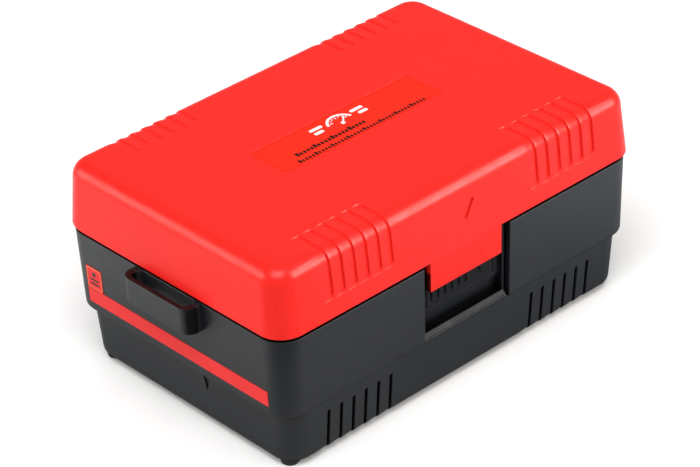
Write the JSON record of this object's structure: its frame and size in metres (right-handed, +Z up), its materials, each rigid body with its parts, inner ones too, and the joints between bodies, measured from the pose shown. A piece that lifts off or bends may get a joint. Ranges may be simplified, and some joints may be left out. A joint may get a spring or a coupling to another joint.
{
  "type": "insulation resistance tester",
  "caption": "Hand-held insulation resistance tester in a closed hard case: hinged lid with a push release over a panel with selector, test button, display and plug sockets.",
  "frame": {"origin": "centre of the case's footprint on the plane the feet stand on", "axes": "+X along the long side, -Y the front with the release flap, +Z up out of the lid"},
  "size_m": [0.1612, 0.1021, 0.071],
  "materials": {
    "case_grey": "fine moulded texture",
    "lid_red": "fine moulded texture",
    "label_film": "printed film",
    "card": "printed card",
    "steel": "turned",
    "mark_red": "printed film",
    "panel_grey": "fine moulded texture",
    "overlay": "printed film",
    "window": "clear polished",
    "lcd": "matt polariser",
    "diffuser": "milky",
    "natural_nylon": "satin",
    "strip_rubber": "matt",
    "board_green": "solder mask",
    "knob_dark": "satin moulded",
    "pointer_white": "satin",
    "brass": "turned",
    "spring_steel": "drawn wire",
    "test_amber": "satin moulded",
    "component_black": "moulded",
    "key_grey": "satin moulded",
    "silicone": "matt",
    "lamp_red": "clear tinted",
    "socket_red": "satin moulded",
    "socket_green": "satin moulded",
    "socket_black": "satin moulded",
    "fuse_white": "smooth",
    "resistor_blue": "lacquer",
    "ferrite": "matt",
    "winding_tape": "film tape",
    "cap_sleeve": "shrink sleeve",
    "relay_case": "moulded",
    "cell_wrap": "printed sleeve",
    "wire_red": "smooth",
    "wire_black": "smooth",
    "foot_rubber": "matt"
  },
  "bodies": {
    "case": {"base_case": "case_grey", "hinge_pins": "steel", "side_stripe": "mark_red", "side_mark": "mark_red", "front_panel": "panel_grey", "panel_overlay": "overlay", "display_window": "window", "lcd_glass": "lcd", "lcd_backlight": "diffuser", "lcd_frame": "natural_nylon", "contact_strips": "strip_rubber", "main_board": "board_green", "case_screws": "steel", "board_screws": "steel", "test_spring": "spring_steel", "test_switch": "component_black", "key_mat": "silicone", "warning_lamp": "lamp_red", "line_socket": "socket_red", "guard_socket": "socket_green", "earth_socket": "socket_black", "socket_contacts": "brass", "fuse_link": "fuse_white", "fuse_clips": "brass", "range_resistors": "resistor_blue", "control_chips": "component_black", "transformer_core": "ferrite", "transformer_winding": "winding_tape", "reservoir_capacitors": "cap_sleeve", "relay": "relay_case", "buzzer": "component_black", "battery_cells": "cell_wrap", "battery_springs": "spring_steel", "battery_plates": "steel", "battery_wire_red": "wire_red", "battery_wire_black": "wire_black", "rubber_feet": "foot_rubber"},
    "lid": {"lid_shell": "lid_red", "lid_label": "label_film", "lid_card": "card"},
    "flap": {"release_flap": "case_grey"},
    "selector": {"selector_knob": "knob_dark", "knob_pointer": "pointer_white", "switch_rotor": "natural_nylon", "wiper_contacts": "brass", "detent_balls": "steel", "detent_springs": "spring_steel"},
    "test_slider": {"test_plunger": "natural_nylon"},
    "test_button": {"test_cap": "test_amber"},
    "function_key_1": {"key_1": "key_grey"},
    "function_key_2": {"key_2": "key_grey"},
    "function_key_3": {"key_3": "key_grey"},
    "function_key_4": {"key_4": "key_grey"},
    "bottom_door": {"battery_door": "case_grey", "door_screw": "steel"}
  },
  "joints": [
    {"name": "lid_hinge", "type": "hinge", "parent": "case", "child": "lid", "pos_m": [0, 0.0494, 0.0492], "axis": [-1, 0, 0], "range_deg": [0, 110]},
    {"name": "flap_press", "type": "hinge", "parent": "case", "child": "flap", "pos_m": [0, -0.0486, 0.02222], "axis": [-1, 0, 0], "range_deg": [0, 5], "stiffness_Nm_per_rad": 2},
    {"name": "selector_turn", "type": "hinge", "parent": "case", "child": "selector", "pos_m": [0.036, -0.008, 0.047], "axis": [0, 0, -1], "range_deg": [0, 240]},
    {"name": "test_press", "type": "slide", "parent": "case", "child": "test_slider", "axis": [0, 0, -1], "range_m": [0, 0.0025], "stiffness_N_per_m": 600, "deforming": ["test_spring"]},
    {"name": "test_lock_turn", "type": "hinge", "parent": "test_slider", "child": "test_button", "pos_m": [-0.044, -0.028, 0.05], "axis": [0, 0, -1], "range_deg": [0, 60]},
    {"name": "key_1_press", "type": "slide", "parent": "case", "child": "function_key_1", "axis": [0, 0, -1], "range_m": [0, 0.0008], "stiffness_N_per_m": 800},
    {"name": "key_2_press", "type": "slide", "parent": "case", "child": "function_key_2", "axis": [0, 0, -1], "range_m": [0, 0.0008], "stiffness_N_per_m": 800},
    {"name": "key_3_press", "type": "slide", "parent": "case", "child": "function_key_3", "axis": [0, 0, -1], "range_m": [0, 0.0008], "stiffness_N_per_m": 800},
    {"name": "key_4_press", "type": "slide", "parent": "case", "child": "function_key_4", "axis": [0, 0, -1], "range_m": [0, 0.0008], "stiffness_N_per_m": 800},
    {"name": "door_lift_off", "type": "slide", "parent": "case", "child": "bottom_door", "axis": [0, 0, -1], "range_m": [0, 0.04]}
  ]
}
